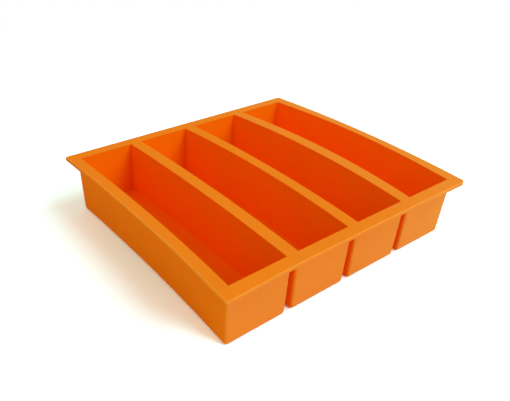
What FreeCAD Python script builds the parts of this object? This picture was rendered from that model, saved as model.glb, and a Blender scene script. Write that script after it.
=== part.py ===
import FreeCAD, Part
import math
import os
from FreeCAD import Vector

# An ice mould, moulded in one piece of soft rubber: four long troughs hang side by side
# under one flat flange, with a narrow gap between neighbours.
# +X runs across the troughs, +Y along them and +Z up. The near end is the one at low Y.
# The origin is on the surface the mould stands on, under the middle of its outline.
# All sizes are in millimetres and degrees.

# Each cavity, measured where it opens in the flange
mouth_length = 134.0
mouth_width = 32.0
cavity_depth = 30.8

# Thicknesses
wall = 1.9
floor_thickness = 2.0
flange_thickness = 2.0

# Space between neighbouring troughs, and the flange's reach past the outermost walls
trough_gap = 3.0
side_overhang = 4.5
end_overhang = 4.8

# Lean of every wall, by which the ice comes free
draft = 0.9

# Roundings: a cavity's upright corners are sharp and only its floor is rounded off
cavity_root_radius = 0.8
trough_radius = 1.4
mouth_bevel = 0.3
flange_corner_radius = 2.0
flange_edge_radius = 0.8

# The soft long walls have taken a set: at mid-length they stand over towards +X.
# Each pair is the left and the right wall of one trough, from the leftmost trough on.
wall_bows = [(1.85, 1.7), (1.9, 3.55), (3.05, 5.0), (5.7, 5.45)]
# The same set in the flange: both side edges stand over, and the near edge is drawn in.
left_edge_bow = 1.95
right_edge_bow = 4.15
near_edge_bow = 0.5

# Worked out from the sizes above
trough_count = len(wall_bows)
height = cavity_depth + floor_thickness
underside = height - flange_thickness
pitch = mouth_width + 2 * wall + trough_gap
flange_width = (trough_count - 1) * pitch + mouth_width + 2 * (wall + side_overhang)
flange_length = mouth_length + 2 * (wall + end_overhang)
outline_middle = right_edge_bow / 2

# Slack for telling edges apart by their height
level = 0.001


def lean_at(z):
    """How far a wall has leant inwards at height z."""
    return (height - z) * math.tan(math.radians(draft))


def wall_cone(x, bow, side, growth, bottom, top):
    """Cone whose flank is a long wall: side is 1 for a right wall and -1 for a left one.

    At the mouth the flank meets x at both ends of the cavity and stands over by bow between.
    """
    half = mouth_length / 2
    radius = (half * half + bow * bow) / (2 * bow)
    centre = Vector(x + bow - radius, 0, bottom)
    low, high = [radius + side * (growth - lean_at(z)) for z in (bottom, top)]
    cone = Part.makeCone(low, high, top - bottom, centre)
    cone.rotate(centre, Vector(0, 0, 1), 180)
    return cone


def near_mouth_end(middle_x):
    """Y of a cavity's near end, which keeps its distance from the flange's near edge."""
    s = 2 * middle_x / flange_width
    return -mouth_length / 2 + near_edge_bow * (1 - s * s)


def drafted_block(index, growth, bottom, top):
    """The space of one cavity between two heights, grown outwards, with sharp edges."""
    middle_x = (index - (trough_count - 1) / 2) * pitch
    near = near_mouth_end(middle_x) - growth
    far = mouth_length / 2 + growth
    start_x = middle_x - pitch
    corners = [
        Vector(start_x, near + lean_at(bottom), bottom),
        Vector(start_x, far - lean_at(bottom), bottom),
        Vector(start_x, far - lean_at(top), top),
        Vector(start_x, near + lean_at(top), top),
    ]
    block = Part.Face(Part.makePolygon(corners + corners[:1])).extrude(Vector(2 * pitch, 0, 0))
    left_bow, right_bow = wall_bows[index]
    left_x = middle_x - mouth_width / 2
    right_x = middle_x + mouth_width / 2
    block = block.cut(wall_cone(left_x, left_bow, -1, growth, bottom, top))
    return block.common(wall_cone(right_x, right_bow, 1, growth, bottom, top))


def lies_at(edge, z):
    """Whether the whole edge lies at height z."""
    box = edge.BoundBox
    return abs(box.ZMin - z) < level and abs(box.ZMax - z) < level


def trough(index, top):
    """One trough as a filled block up to height top, rounded at its foot and upright corners."""
    block = drafted_block(index, wall, 0, top)
    rounded = [edge for edge in block.Edges if not lies_at(edge, top)]
    return block.makeFillet(trough_radius, rounded)


def cavity(index, top):
    """The space inside one trough, carried on up to height top and rounded at its floor."""
    block = drafted_block(index, 0, floor_thickness, top)
    root = [edge for edge in block.Edges if lies_at(edge, floor_thickness)]
    return block.makeFillet(cavity_root_radius, root)


def bowed_arc(start, end, bow):
    """Arc between two points whose middle stands off the straight line by the vector bow."""
    return Part.Arc(start, (start + end) / 2 + bow, end).toShape()


def flange_outline(z):
    """Outline of the flange at height z, before its corners are rounded."""
    half_width = flange_width / 2
    half_length = flange_length / 2
    near_left = Vector(-half_width, -half_length, z)
    near_right = Vector(half_width, -half_length, z)
    far_right = Vector(half_width, half_length, z)
    far_left = Vector(-half_width, half_length, z)
    return Part.Wire([
        bowed_arc(near_left, near_right, Vector(0, near_edge_bow, 0)),
        bowed_arc(near_right, far_right, Vector(right_edge_bow, 0, 0)),
        Part.makeLine(far_right, far_left),
        bowed_arc(far_left, near_left, Vector(left_edge_bow, 0, 0)),
    ])


def flange_plate():
    """Flat flange with rounded corners and a softened upper edge."""
    plate = Part.Face(flange_outline(underside)).extrude(Vector(0, 0, flange_thickness))
    corners = [edge for edge in plate.Edges if not lies_at(edge, underside) and not lies_at(edge, height)]
    plate = plate.makeFillet(flange_corner_radius, corners)
    rim = [edge for edge in plate.Edges if lies_at(edge, height)]
    return plate.makeFillet(flange_edge_radius, rim)


def mouth_edges(body):
    """Edges of the cavities' mouths, which lie well inside the flange's own rim."""
    rim = flange_outline(height)
    inside = min(side_overhang, end_overhang) / 2
    return [edge for edge in body.Edges if lies_at(edge, height) and edge.distToShape(rim)[0] > inside]


def mould():
    """The whole moulding: troughs joined under the flange, then hollowed from above."""
    body = flange_plate()
    within_flange = height - flange_thickness / 2
    for index in range(trough_count):
        body = body.fuse(trough(index, within_flange))
    above_flange = height + flange_thickness
    for index in range(trough_count):
        body = body.cut(cavity(index, above_flange))
    body = body.makeChamfer(mouth_bevel, mouth_edges(body))
    body.translate(Vector(-outline_middle, 0, 0))
    return body.Solids[0]


os.makedirs("parts", exist_ok=True)
solid = mould()
solid.exportStep("parts/mould.step")
print("mould", solid.ShapeType, "valid", solid.isValid(), "faces", len(solid.Faces))
print("volume in cubic centimetres", round(solid.Volume / 1000, 2))
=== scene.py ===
import math

import bmesh
import bpy
from mathutils import Matrix, Vector


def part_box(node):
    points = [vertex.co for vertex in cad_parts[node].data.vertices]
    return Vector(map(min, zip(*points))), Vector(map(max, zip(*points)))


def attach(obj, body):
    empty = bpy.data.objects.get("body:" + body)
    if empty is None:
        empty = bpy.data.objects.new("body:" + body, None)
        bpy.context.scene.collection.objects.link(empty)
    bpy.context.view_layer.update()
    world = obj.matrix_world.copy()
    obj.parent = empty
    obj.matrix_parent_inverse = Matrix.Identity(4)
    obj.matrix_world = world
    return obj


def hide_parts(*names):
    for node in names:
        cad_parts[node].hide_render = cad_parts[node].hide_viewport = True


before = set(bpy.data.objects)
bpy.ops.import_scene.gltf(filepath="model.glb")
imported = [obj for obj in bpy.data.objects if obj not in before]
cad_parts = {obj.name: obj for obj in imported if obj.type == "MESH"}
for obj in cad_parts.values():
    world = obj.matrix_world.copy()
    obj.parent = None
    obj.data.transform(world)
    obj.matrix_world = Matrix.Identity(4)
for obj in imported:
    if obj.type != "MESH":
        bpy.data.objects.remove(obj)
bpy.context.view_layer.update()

highCorner = Vector(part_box("mould")[1])

slack = 1e-5  # metres, for telling places apart
aligned = 0.7  # least cosine between two directions that count as the same
foldAngle = math.radians(40)  # an edge that folds more than this is rounded off or shaded sharp

# camera, placed from the rim, mouth and base edges in the photograph
camera = {
    "place": (-0.18158, -0.19433, 0.17349),
    "azimuth": -37.323,
    "elevation": 34.443,
    "roll": 1.057,
    "lens": 38.339,
    "sensorWidth": 36.0,
    "centrePixel": (213.0, 228.0),
    "frame": (510.0, 401.0),
    "clip": (0.01, 20.0),
}


def makeCamera():
    data = bpy.data.cameras.new("camera")
    view = bpy.data.objects.new("camera", data)
    bpy.context.scene.collection.objects.link(view)
    data.lens = camera["lens"]
    data.sensor_width = camera["sensorWidth"]
    data.clip_start, data.clip_end = camera["clip"]
    wide, tall = camera["frame"]
    data.shift_x = (wide / 2 - camera["centrePixel"][0]) / wide
    data.shift_y = (camera["centrePixel"][1] - tall / 2) / wide
    turn = Matrix.Rotation(math.radians(camera["azimuth"]), 4, "Z")
    tilt = Matrix.Rotation(math.radians(90 - camera["elevation"]), 4, "X")
    roll = Matrix.Rotation(math.radians(camera["roll"]), 4, "Z")
    view.matrix_world = Matrix.Translation(camera["place"]) @ turn @ tilt @ roll
    bpy.context.scene.camera = view
    print("camera placed")


class Socket:
    # wraps a node's output, so that shader maths reads as plain expressions
    def __init__(self, nodes, link):
        self.nodes = nodes
        self.link = link

    def maths(self, operation, *values):
        return self.nodes.node("ShaderNodeMath", {"operation": operation}, dict(enumerate(values)))

    def __add__(self, other):
        return self.maths("ADD", self, other)

    def __radd__(self, other):
        return self.maths("ADD", other, self)

    def __sub__(self, other):
        return self.maths("SUBTRACT", self, other)

    def __rsub__(self, other):
        return self.maths("SUBTRACT", other, self)

    def __mul__(self, other):
        return self.maths("MULTIPLY", self, other)

    def __rmul__(self, other):
        return self.maths("MULTIPLY", other, self)

    def atLeast(self, other):
        return self.maths("MAXIMUM", self, other)


class Nodes:
    # one node tree, cleared and ready to fill
    def __init__(self, tree):
        self.tree = tree
        tree.nodes.clear()

    def node(self, kind, settings=None, inputs=None, output=0):
        made = self.tree.nodes.new(kind)
        for name, value in (settings or {}).items():
            setattr(made, name, value)
        for name, value in (inputs or {}).items():
            if isinstance(value, Socket):
                self.tree.links.new(value.link, made.inputs[name])
            else:
                made.inputs[name].default_value = value
        return Socket(self, made.outputs[output]) if len(made.outputs) else made

    def blend(self, share, first, second):
        # a Mix node gives its colour at output 2
        return self.node("ShaderNodeMix", {"data_type": "RGBA"}, {
            "Factor": share, "A": first, "B": second}, output=2)


# the mould in metres, straight as it was moulded, before its walls took their set
moulding = {
    "troughs": 4,
    "mouth": (0.032, 0.134),  # one cavity's opening, across and along
    "wall": 0.0019,
    "floor": 0.002,
    "flange": 0.002,
    "gap": 0.003,
    "sideReach": 0.0045,  # of the flange past the outermost walls
    "endReach": 0.0048,
    "draft": 0.9,  # degrees by which every wall leans
    "cornerRound": 0.0012,  # the flange's upright corners
    "nearRightRound": 0.0019,
    "rightReach": 0.00022,  # by which the right edge lies further out
    "rimRound": 0.0007,
    "sideRimWidth": 0.5,  # share of rimRound that the rounding is wide along the sides
    "nearRimWidth": 1.3,
    "highlightLine": 0.00105,  # width of the painted highlight line along the left edge
    "mouthRound": 0.00014,
    "rootRound": 0.0003,
    "footRound": 0.0014,
    "underRound": 0.0004,  # where the walls meet the flange
    "roundSteps": 5,
    "fineSteps": 3,
    "lengthCuts": 22,
}
halfMouth = Vector(moulding["mouth"]) / 2


def insetPer(drop):
    return drop * math.tan(math.radians(moulding["draft"]))


def troughMiddles():
    pitch = moulding["mouth"][0] + 2 * moulding["wall"] + moulding["gap"]
    return [(index - (moulding["troughs"] - 1) / 2) * pitch for index in range(moulding["troughs"])]


def troughOutline():
    # half the width and length that the outermost walls enclose at the top
    return troughMiddles()[-1] + halfMouth.x + moulding["wall"], halfMouth.y + moulding["wall"]


def cutAt(shape, axis, places):
    normal = Vector((0, 0, 0))
    normal[axis] = 1
    for place in places:
        through = shape.verts[:] + shape.edges[:] + shape.faces[:]
        bmesh.ops.bisect_plane(shape, geom=through, dist=1e-7, plane_co=normal * place,
                               plane_no=normal)


def isInside(point, middle, half):
    # whether a point lies in a rectangle centred on X = middle
    return abs(point.x - middle) < half[0] and abs(point.y) < half[1]


def facesOver(shape, facing, middle, half):
    # faces in such a rectangle that look up (facing 1) or down (facing -1)
    return [face for face in shape.faces if face.normal.z * facing > aligned
            and isInside(face.calc_center_median(), middle, half)]


def sinkPocket(shape, faces, middle, half, drop):
    # pushes a rectangle of faces down by drop and leans its new walls inwards
    grown = bmesh.ops.extrude_face_region(shape, geom=faces)
    bmesh.ops.delete(shape, geom=faces, context="FACES")
    floor = [part for part in grown["geom"] if isinstance(part, bmesh.types.BMVert)]
    lean = insetPer(drop)
    bmesh.ops.translate(shape, verts=floor, vec=(0, 0, -drop))
    bmesh.ops.scale(shape, verts=floor, vec=(1 - lean / half[0], 1 - lean / half[1], 1),
                    space=Matrix.Translation((-middle, 0, 0)))


def roundOff(shape, edges, radius, steps):
    bmesh.ops.bevel(shape, geom=edges, offset=radius, offset_type="OFFSET", segments=steps,
                    profile=0.5, affect="EDGES", material=-1, clamp_overlap=False)


def isFolded(edge):
    return edge.is_manifold and edge.calc_face_angle() > foldAngle


def isLevel(edge, height):
    return all(abs(vert.co.z - height) < slack for vert in edge.verts)


def isUpright(edge):
    rise = edge.verts[0].co - edge.verts[1].co
    return abs(rise.z) > aligned * rise.length


def isNearRight(edge):
    at = edge.verts[0].co
    return at.x > 0 > at.y


def layFlange(shape, halfWidth, halfLength):
    # the flange's plate, with its upright corners rounded
    thick = moulding["flange"]
    bmesh.ops.create_cube(shape, size=1)
    bmesh.ops.scale(shape, verts=shape.verts, vec=(2 * halfWidth, 2 * halfLength, thick))
    bmesh.ops.translate(shape, verts=shape.verts, vec=(0, 0, highCorner.z - thick / 2))
    nearRight = [edge for edge in shape.edges if isUpright(edge) and isNearRight(edge)]
    roundOff(shape, nearRight, moulding["nearRightRound"], moulding["roundSteps"])
    others = [edge for edge in shape.edges if isUpright(edge) and not isNearRight(edge)]
    roundOff(shape, others, moulding["cornerRound"], moulding["roundSteps"])


def hangTroughs(shape, halfWidth):
    # cuts the flange along every wall and along its length, then sinks the cavities from above
    # and the troughs' outsides from below
    thickness = moulding["wall"] - insetPer(moulding["flange"])
    outer = halfMouth + Vector((thickness, thickness))
    middles = troughMiddles()
    for middle in middles:
        cutAt(shape, 0, [middle - outer.x, middle - halfMouth.x, middle + halfMouth.x,
                         middle + outer.x])
    cutAt(shape, 0, [moulding["highlightLine"] - halfWidth])
    cuts = moulding["lengthCuts"]
    cutAt(shape, 1, [-outer.y, -halfMouth.y, halfMouth.y, outer.y])
    cutAt(shape, 1, [halfMouth.y * (2 * cut / cuts - 1) for cut in range(1, cuts)])

    inward = highCorner.z - moulding["floor"]
    outward = highCorner.z - moulding["flange"]
    for middle in middles:
        sinkPocket(shape, facesOver(shape, 1, middle, halfMouth), middle, halfMouth, inward)
        sinkPocket(shape, facesOver(shape, -1, middle, outer), middle, outer, outward)


def roundEdges(shape, halfWidth, halfLength):
    top = highCorner.z
    underside = top - moulding["flange"]
    within = (halfWidth - moulding["sideReach"] / 2, halfLength - moulding["endReach"] / 2)

    def foldedAt(height):
        return [edge for edge in shape.edges if isFolded(edge) and isLevel(edge, height)]

    def isWithin(edge):
        return isInside(edge.verts[0].co, 0, within)

    def isOutside(edge):
        # a trough's outer upright edge, which runs from its foot to the flange's underside
        return isUpright(edge) and edge.verts[0].co.z + edge.verts[1].co.z < underside + slack

    feet = [edge for edge in shape.edges if isFolded(edge)
            and (isLevel(edge, 0) or isOutside(edge))]
    roundOff(shape, feet, moulding["footRound"], moulding["roundSteps"])
    roundOff(shape, foldedAt(moulding["floor"]), moulding["rootRound"], moulding["fineSteps"])
    under = [edge for edge in foldedAt(underside) if isWithin(edge)]
    roundOff(shape, under, moulding["underRound"], moulding["fineSteps"])
    mouths = [edge for edge in foldedAt(top) if isWithin(edge)]
    rim = [edge for edge in foldedAt(top) if not isWithin(edge)]
    roundOff(shape, mouths, moulding["mouthRound"], moulding["fineSteps"])
    roundOff(shape, rim, moulding["rimRound"], moulding["roundSteps"])


def fitRim(shape, halfWidth, halfLength):
    # the right edge lies a little further out, and the rim's rounding is crisper along the sides
    # and softer along the near edge
    reach = moulding["rimRound"] + slack
    for vert in shape.verts:
        fromSide, fromNear = halfWidth - abs(vert.co.x), halfLength + vert.co.y
        if vert.co.x > halfWidth - moulding["sideReach"] / 2:
            vert.co.x += moulding["rightReach"]
        if vert.co.z > highCorner.z - reach:
            if fromSide < reach:
                vert.co.x += math.copysign(fromSide * (1 - moulding["sideRimWidth"]), vert.co.x)
            if fromNear < reach:
                vert.co.y -= fromNear * (1 - moulding["nearRimWidth"])


def mouldShape():
    shape = bmesh.new()
    wallWidth, wallLength = troughOutline()
    halfWidth, halfLength = wallWidth + moulding["sideReach"], wallLength + moulding["endReach"]
    layFlange(shape, halfWidth, halfLength)
    hangTroughs(shape, halfWidth)
    roundEdges(shape, halfWidth, halfLength)
    fitRim(shape, halfWidth, halfLength)
    bmesh.ops.recalc_face_normals(shape, faces=shape.faces)
    openEdges = sum(not edge.is_manifold for edge in shape.edges)
    print("mould shaped:", len(shape.faces), "faces,", openEdges, "open edges")
    return shape


# the rubber's colours, shares from 0 to 1, and depths of its relief in metres
rubber = {
    "outside": (0.92, 0.213, 0.004, 1),
    # painted shade: the inside colour, redder and darker, is laid in the cavities and gaps
    "inside": (0.98, 0.17, 0.001, 1),
    # painted highlight: a paler colour along the outer edges
    "edgeHighlight": (0.9, 0.38, 0.05, 1),
    "edgeHighlightShare": 0.6,
    "rimHighlight": 0.6,
    "rimHighlightLeft": 0.5,  # more painted highlight where the rim looks to the left, away from the key lamp
    "rimHighlightFlat": 0.99,  # Z of a face's normal from which it counts as the flat top
    "highlightLine": 0.35,
    "cornerHighlight": 0.8,
    "cornerHighlightStart": 0.2,
    "rightSheen": (0.9, 0.42, 0.1, 1),  # painted sheen: paler towards the right, where light from the right side falls
    "rightSheenShare": 0.2,
    "dustAndSheen": (0.75, 0.3, 0.22, 1),  # painted sheen on faces that look to the near end and up, towards the lamps, and small specks of real dust
    "sheenNear": 0.11,
    "sheenTop": 0.3,  # as a share of the painted sheen at the near end
    "speckLevel": 0.55,
    "speckShare": 0.5,
    "cloudShade": 0.08,
    "grainDepth": 0.00003,
    "rippleDepth": 0.00008,
    "roughness": 0.52,
    "roughnessSpread": 0.16,
    "shine": 0.004,
    # painted light: a weak red emission in the gaps and on the last wall
    "glow": (0.055, 0.002, 0.0, 1),
    "gapTurn": (0.7, 0.2),  # Y of a face's normal at which the gap's painted shade and glow start and are full
    "lastWallGlow": 1.6,
}

# size in metres and detail of each noise in the rubber
noises = {
    "cloud": (0.018, 4.0),
    "smear": (0.006, 6.0),
    "speck": (0.0024, 3.0),
    "grain": (0.0007, 2.0),
    "ripple": (0.012, 1.0),
}


def ramp(value, low, high):
    # 0 at low and 1 at high, held there beyond them
    return min(max((value - low) / (high - low), 0), 1)


def isHollow(at):
    # whether a face lies inside a cavity
    return moulding["floor"] - slack < at.z < highCorner.z - moulding["mouthRound"] and any(
        isInside(at, middle, halfMouth) for middle in troughMiddles())


def gapAt(at, normal):
    # 1 on the walls that look into a gap between two troughs
    middles = troughMiddles()
    reach = moulding["gap"] / 2 + insetPer(highCorner.z) + moulding["footRound"]
    between = slack < at.z < highCorner.z - moulding["flange"] / 2 and any(
        isInside(at, (left + right) / 2, (reach, troughOutline()[1]))
        for left, right in zip(middles, middles[1:]))
    return between * ramp(abs(normal.y), *rubber["gapTurn"])


def highlightAt(at, normal):
    # painted highlight: outer edges are painted paler where light would catch them: the line along
    # the left edge, the rim and the troughs' corners
    top = highCorner.z
    outline = troughOutline()
    if at.z > top - slack and at.x < moulding["highlightLine"] - outline[0] - moulding["sideReach"]:
        return rubber["highlightLine"]
    onRim = at.z > top - moulding["rimRound"] and not isInside(at, 0, outline)
    if onRim and normal.z < rubber["rimHighlightFlat"]:
        share = rubber["rimHighlight"] + rubber["rimHighlightLeft"] * max(-normal.x, 0)
        return share * math.sin(math.pi * normal.z)
    if at.z < top - moulding["flange"] and abs(at.x) > outline[0] - 2 * moulding["footRound"]:
        turned = min(abs(normal.x), abs(normal.y)) - rubber["cornerHighlightStart"]
        return rubber["cornerHighlight"] * max(turned, 0)
    return 0


def paintFaces(shape):
    # painted shade: 1 inside the cavities and in the gaps, where the rubber is painted redder and
    # darker for the shade and bounced light that fall there
    # glow: painted light, an emission that stands in for light coming through the rubber, 1 in the
    # gaps and more on the last wall
    hollowShade, edgeHighlight, glow, dustAndSheen = [shape.faces.layers.float.new(name) for name in (
        "hollowShade", "edgeHighlight", "glow", "dustAndSheen")]
    for face in shape.faces:
        at, normal = face.calc_center_median(), face.normal
        hollow, inGap = isHollow(at), gapAt(at, normal)
        lastWall = hollow and at.x > troughMiddles()[-1] and normal.x < -aligned
        face[hollowShade] = 1.0 if hollow else inGap
        face[glow] = inGap + rubber["lastWallGlow"] * lastWall
        face[edgeHighlight] = highlightAt(at, normal)
        # painted sheen: faces that look to the near end and up, towards the lamps, are painted
        # paler
        dustAndSheenShare = max(-normal.y, 0) ** 2 + rubber["sheenTop"] * max(normal.z, 0) ** 2
        face[dustAndSheen] = (1 - face[hollowShade]) * dustAndSheenShare
    print("faces painted")


# how far the soft walls and edges stand over at mid-length, in metres: the left and right wall of
# each trough, then the flange's side edges and its near edge
settled = {
    "walls": [(0.00185, 0.0017), (0.0019, 0.00355), (0.00305, 0.005), (0.0057, 0.00545)],
    "leftEdge": 0.0017,
    "rightEdge": 0.0044,
    "aside": 0.002075,  # brings the middle of the bowed outline back over the origin
    "nearEdge": 0.0005,
    "droop": 0.0012,  # of the flange's near left corner
    "droopAlong": 0.022,  # how far it reaches along the edges, and inwards
    "droopInwards": 0.005,
    "tuck": 0.00045,  # of the first trough's far left corner
    "tuckStart": 0.03,  # from this Y on
    "tuckBelow": 0.0021,  # from this far below the top
}


def arcOffset(bow, half, along):
    # height of a shallow arc over its chord, which ends at plus and minus half
    radius = (half * half + bow * bow) / (2 * bow)
    return bow - radius + math.sqrt(radius * radius - along * along)


def bowStations(halfWidth, halfLength):
    # places across the mould whose bow is known: both faces of every wall, and the side edges
    stations = [(-halfWidth, settled["leftEdge"], halfLength)]
    for middle, bows in zip(troughMiddles(), settled["walls"]):
        for side, bow in zip((-1, 1), bows):
            faces = sorted(middle + side * (halfMouth.x + extra) for extra in (0, moulding["wall"]))
            stations += [(place, bow, halfMouth.y) for place in faces]
    return stations + [(halfWidth, settled["rightEdge"], halfLength)]


def bowAt(stations, across, along):
    across = min(max(across, stations[0][0]), stations[-1][0])
    for (left, leftBow, leftHalf), (right, rightBow, rightHalf) in zip(stations, stations[1:]):
        if across <= right:
            share = (across - left) / (right - left)
            leftOffset = arcOffset(leftBow, leftHalf, along)
            return (1 - share) * leftOffset + share * arcOffset(rightBow, rightHalf, along)


def tuckAt(at):
    # the far left corner of the first trough has drawn in, outside and a little below the flange
    middle = troughMiddles()[0]
    lean = insetPer(highCorner.z)
    within = halfMouth - Vector((lean, lean)) / 2
    if at.z > highCorner.z - settled["tuckBelow"] or at.x > middle + halfMouth.x:
        return 0
    if isInside(at, middle, within):
        return 0
    lengthwise = ramp(at.y, settled["tuckStart"], halfMouth.y)
    return settled["tuck"] * lengthwise * ramp(at.x, middle, middle - halfMouth.x)


def droopAt(fromLeft, fromNear):
    # the near left corner hangs, and the two edges that meet there hang with it
    edgewise = max(fromLeft, fromNear) / settled["droopAlong"]
    inwards = min(fromLeft, fromNear) / settled["droopInwards"]
    return settled["droop"] * math.exp(-edgewise ** 2 - inwards ** 2)


def letSettle(shape):
    halfWidth = max(vert.co.x for vert in shape.verts)
    halfLength = max(vert.co.y for vert in shape.verts)
    stations = bowStations(halfWidth, halfLength)
    for vert in shape.verts:
        across, along, height = vert.co
        towardsNear = (1 - along / halfLength) / 2
        drawnIn = settled["nearEdge"] * (1 - (across / halfWidth) ** 2) * towardsNear
        tuck = tuckAt(vert.co)
        vert.co.x = across + bowAt(stations, across, along) - settled["aside"] + tuck
        vert.co.y = along + drawnIn - tuck
        vert.co.z = height * (1 - droopAt(across + halfWidth, along + halfLength) / highCorner.z)
    print("walls settled:", round(shape.calc_volume() * 1e6, 2), "cubic centimetres")


def makeMould():
    shape = mouldShape()
    paintFaces(shape)
    letSettle(shape)
    mesh = bpy.data.meshes.new("mouldSkin")
    shape.to_mesh(mesh)
    shape.free()
    mesh.shade_smooth()
    mesh.set_sharp_from_angle(angle=foldAngle)
    piece = bpy.data.objects.new("mouldSkin", mesh)
    bpy.context.scene.collection.objects.link(piece)
    weighted = piece.modifiers.new("normals", "WEIGHTED_NORMAL")
    weighted.keep_sharp = True
    return piece


def silicone():
    material = bpy.data.materials.new("silicone")
    material.use_nodes = True
    nodes = Nodes(material.node_tree)
    place = nodes.node("ShaderNodeTexCoord", output="Object")

    def noise(name):
        size, detail = noises[name]
        return nodes.node("ShaderNodeTexNoise", inputs={
            "Vector": place, "Scale": 1 / size, "Detail": detail})

    def painted(name):
        return nodes.node("ShaderNodeAttribute", {"attribute_name": name}, output="Fac")

    # painted shade: the cavities and gaps take the redder, darker inside colour
    hollowShade = painted("hollowShade")
    colour = nodes.blend(hollowShade, rubber["outside"], rubber["inside"])
    # painted highlight along the outer edges
    colour = nodes.blend(painted("edgeHighlight") * rubber["edgeHighlightShare"], colour, rubber["edgeHighlight"])
    across = nodes.node("ShaderNodeSeparateXYZ", inputs={"Vector": place})
    towardsRight = nodes.node("ShaderNodeMapRange", inputs={
        "Value": across, "From Max": highCorner.x})
    # painted sheen: the outside grows paler towards the right
    sheenTowardsRight = (1 - hollowShade) * towardsRight * rubber["rightSheenShare"]
    colour = nodes.blend(sheenTowardsRight, colour, rubber["rightSheen"])
    specks = (noise("speck") - rubber["speckLevel"]) * rubber["speckShare"] * (1 - hollowShade)
    # painted sheen from the faces' painted share, and real dust specks from noise
    dustAndSheenShare = painted("dustAndSheen") * rubber["sheenNear"] + specks.atLeast(0)
    colour = nodes.blend(dustAndSheenShare, colour, rubber["dustAndSheen"])
    shade = 1 + (0.5 - noise("cloud")) * rubber["cloudShade"]
    colour = nodes.node("ShaderNodeVectorMath", {"operation": "SCALE"}, {
        "Vector": colour, "Scale": shade})
    roughness = (noise("smear") - 0.5) * rubber["roughnessSpread"] + rubber["roughness"]
    relief = noise("grain") * rubber["grainDepth"] + noise("ripple") * rubber["rippleDepth"]
    bump = nodes.node("ShaderNodeBump", inputs={"Strength": 1.0, "Distance": 1.0, "Height": relief})
    shader = nodes.node("ShaderNodeBsdfPrincipled", inputs={
        "Base Color": colour,
        "Roughness": roughness,
        "Specular IOR Level": rubber["shine"],
        "Normal": bump,
        "Emission Color": nodes.blend(painted("glow"), (0, 0, 0, 1), rubber["glow"]),
        "Emission Strength": 1.0,
    })
    nodes.node("ShaderNodeOutputMaterial", inputs={"Surface": shader})
    print("silicone mixed")
    return material


# the camera sees the floor overexposed, as in the photograph, so it is white where it is lit;
# close beside the left wall, where the mould reddens its own shadow, it sees less of that red
ground = {
    "paint": (0.9, 0.9, 0.9, 1),
    "gain": (0.46, 0.68, 0.92, 1),
    "besideGain": (0.18, 0.68, 0.92, 1),
    "besidePlace": (-0.0775, 0.008, 0.0),
    "besideReach": (0.016, 0.096),
    "fade": (0.22, 0.5),  # metres from the origin at which it starts to fade and is plain white
    "drop": 0.0001,
    "reach": 3.0,
}


def seenDirectly(nodes):
    # 1 for rays straight from the camera, and for what gloss or clear parts would show of it
    seen, mirrored, passed = [nodes.node("ShaderNodeLightPath", output=f"Is {ray} Ray") for ray in (
        "Camera", "Glossy", "Transmission")]
    return seen.atLeast(mirrored).atLeast(passed)


def floorMaterial():
    material = bpy.data.materials.new("floor")
    material.use_nodes = True
    nodes = Nodes(material.node_tree)
    place = nodes.node("ShaderNodeTexCoord", output="Object")

    def lengthOf(vector):
        return nodes.node("ShaderNodeVectorMath", {"operation": "LENGTH"}, {0: vector}, "Value")

    scale = (1 / ground["besideReach"][0], 1 / ground["besideReach"][1], 0)
    beside = nodes.node("ShaderNodeVectorMath", {"operation": "SUBTRACT"}, {
        0: place, 1: ground["besidePlace"]})
    beside = nodes.node("ShaderNodeVectorMath", {"operation": "MULTIPLY"}, {0: beside, 1: scale})
    gained = nodes.blend(lengthOf(beside), ground["besideGain"], ground["gain"])
    paint = nodes.node("ShaderNodeBsdfDiffuse", inputs={"Color": ground["paint"]})
    gain = nodes.node("ShaderNodeBsdfDiffuse", inputs={"Color": gained})
    bright = nodes.node("ShaderNodeAddShader", inputs={0: paint, 1: gain})
    far = nodes.node("ShaderNodeMapRange", inputs={
        "Value": lengthOf(place), "From Min": ground["fade"][0], "From Max": ground["fade"][1]})
    white = nodes.node("ShaderNodeEmission", inputs={"Color": (1, 1, 1, 1), "Strength": 1.0})
    faded = nodes.node("ShaderNodeMixShader", inputs={0: far, 1: bright, 2: white})
    shown = nodes.node("ShaderNodeMixShader", inputs={0: seenDirectly(nodes), 1: paint, 2: faded})
    nodes.node("ShaderNodeOutputMaterial", inputs={"Surface": shown})
    return material


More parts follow.
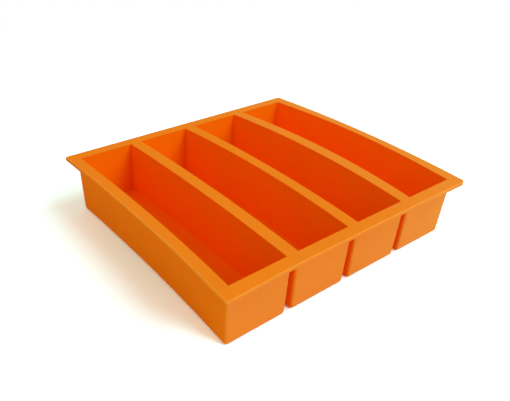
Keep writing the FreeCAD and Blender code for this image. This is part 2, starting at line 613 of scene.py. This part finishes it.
def makeFloor():
    mesh = bpy.data.meshes.new("floor")
    shape = bmesh.new()
    bmesh.ops.create_grid(shape, x_segments=1, y_segments=1, size=ground["reach"])
    bmesh.ops.translate(shape, verts=shape.verts, vec=(0, 0, -ground["drop"]))
    shape.to_mesh(mesh)
    shape.free()
    floor = bpy.data.objects.new("floor", mesh)
    bpy.context.scene.collection.objects.link(floor)
    mesh.materials.append(floorMaterial())
    print("floor laid")


# azimuth and elevation in degrees, seen from the mould; distance and size in metres
lamps = {
    "key": {"azimuth": -70, "elevation": 37, "power": 41.6, "colour": (0.62, 1, 1)},
    "side": {"azimuth": -20, "elevation": 45, "power": 26.2, "colour": (0.7, 1, 1)},
    "fill": {"azimuth": 180, "elevation": 50, "power": 13.8, "colour": (1, 0.68, 0.38)},
}
lampDistance = 3.0
lampSize = 1.2
surround = {"colour": (1.0, 0.96, 0.74, 1), "strength": 0.483}


def makeLamps():
    for name, lamp in lamps.items():
        data = bpy.data.lights.new(name, "AREA")
        data.shape = "DISK"
        data.size = lampSize
        data.energy = lamp["power"]
        data.color = lamp["colour"]
        light = bpy.data.objects.new(name, data)
        bpy.context.scene.collection.objects.link(light)
        turn = Matrix.Rotation(math.radians(lamp["azimuth"]), 3, "Z")
        lift = Matrix.Rotation(math.radians(-lamp["elevation"]), 3, "Y")
        light.location = turn @ lift @ Vector((lampDistance, 0, 0))
        light.rotation_euler = (-light.location).to_track_quat("-Z", "Y").to_euler()
    print("lamps hung")


def makeSurround():
    world = bpy.data.worlds.new("studio")
    bpy.context.scene.world = world
    world.use_nodes = True
    nodes = Nodes(world.node_tree)
    around = nodes.node("ShaderNodeBackground", inputs={
        "Color": surround["colour"], "Strength": surround["strength"]})
    white = nodes.node("ShaderNodeBackground", inputs={"Color": (1, 1, 1, 1), "Strength": 1.0})
    shown = nodes.node("ShaderNodeMixShader", inputs={0: seenDirectly(nodes), 1: around, 2: white})
    nodes.node("ShaderNodeOutputWorld", inputs={"Surface": shown})
    print("surround lit")


bpy.context.scene.view_settings.view_transform = "Standard"
makeCamera()
makeFloor()
makeLamps()
makeSurround()

mould = makeMould()
mould.data.materials.append(silicone())
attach(mould, "root")
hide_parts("mould")
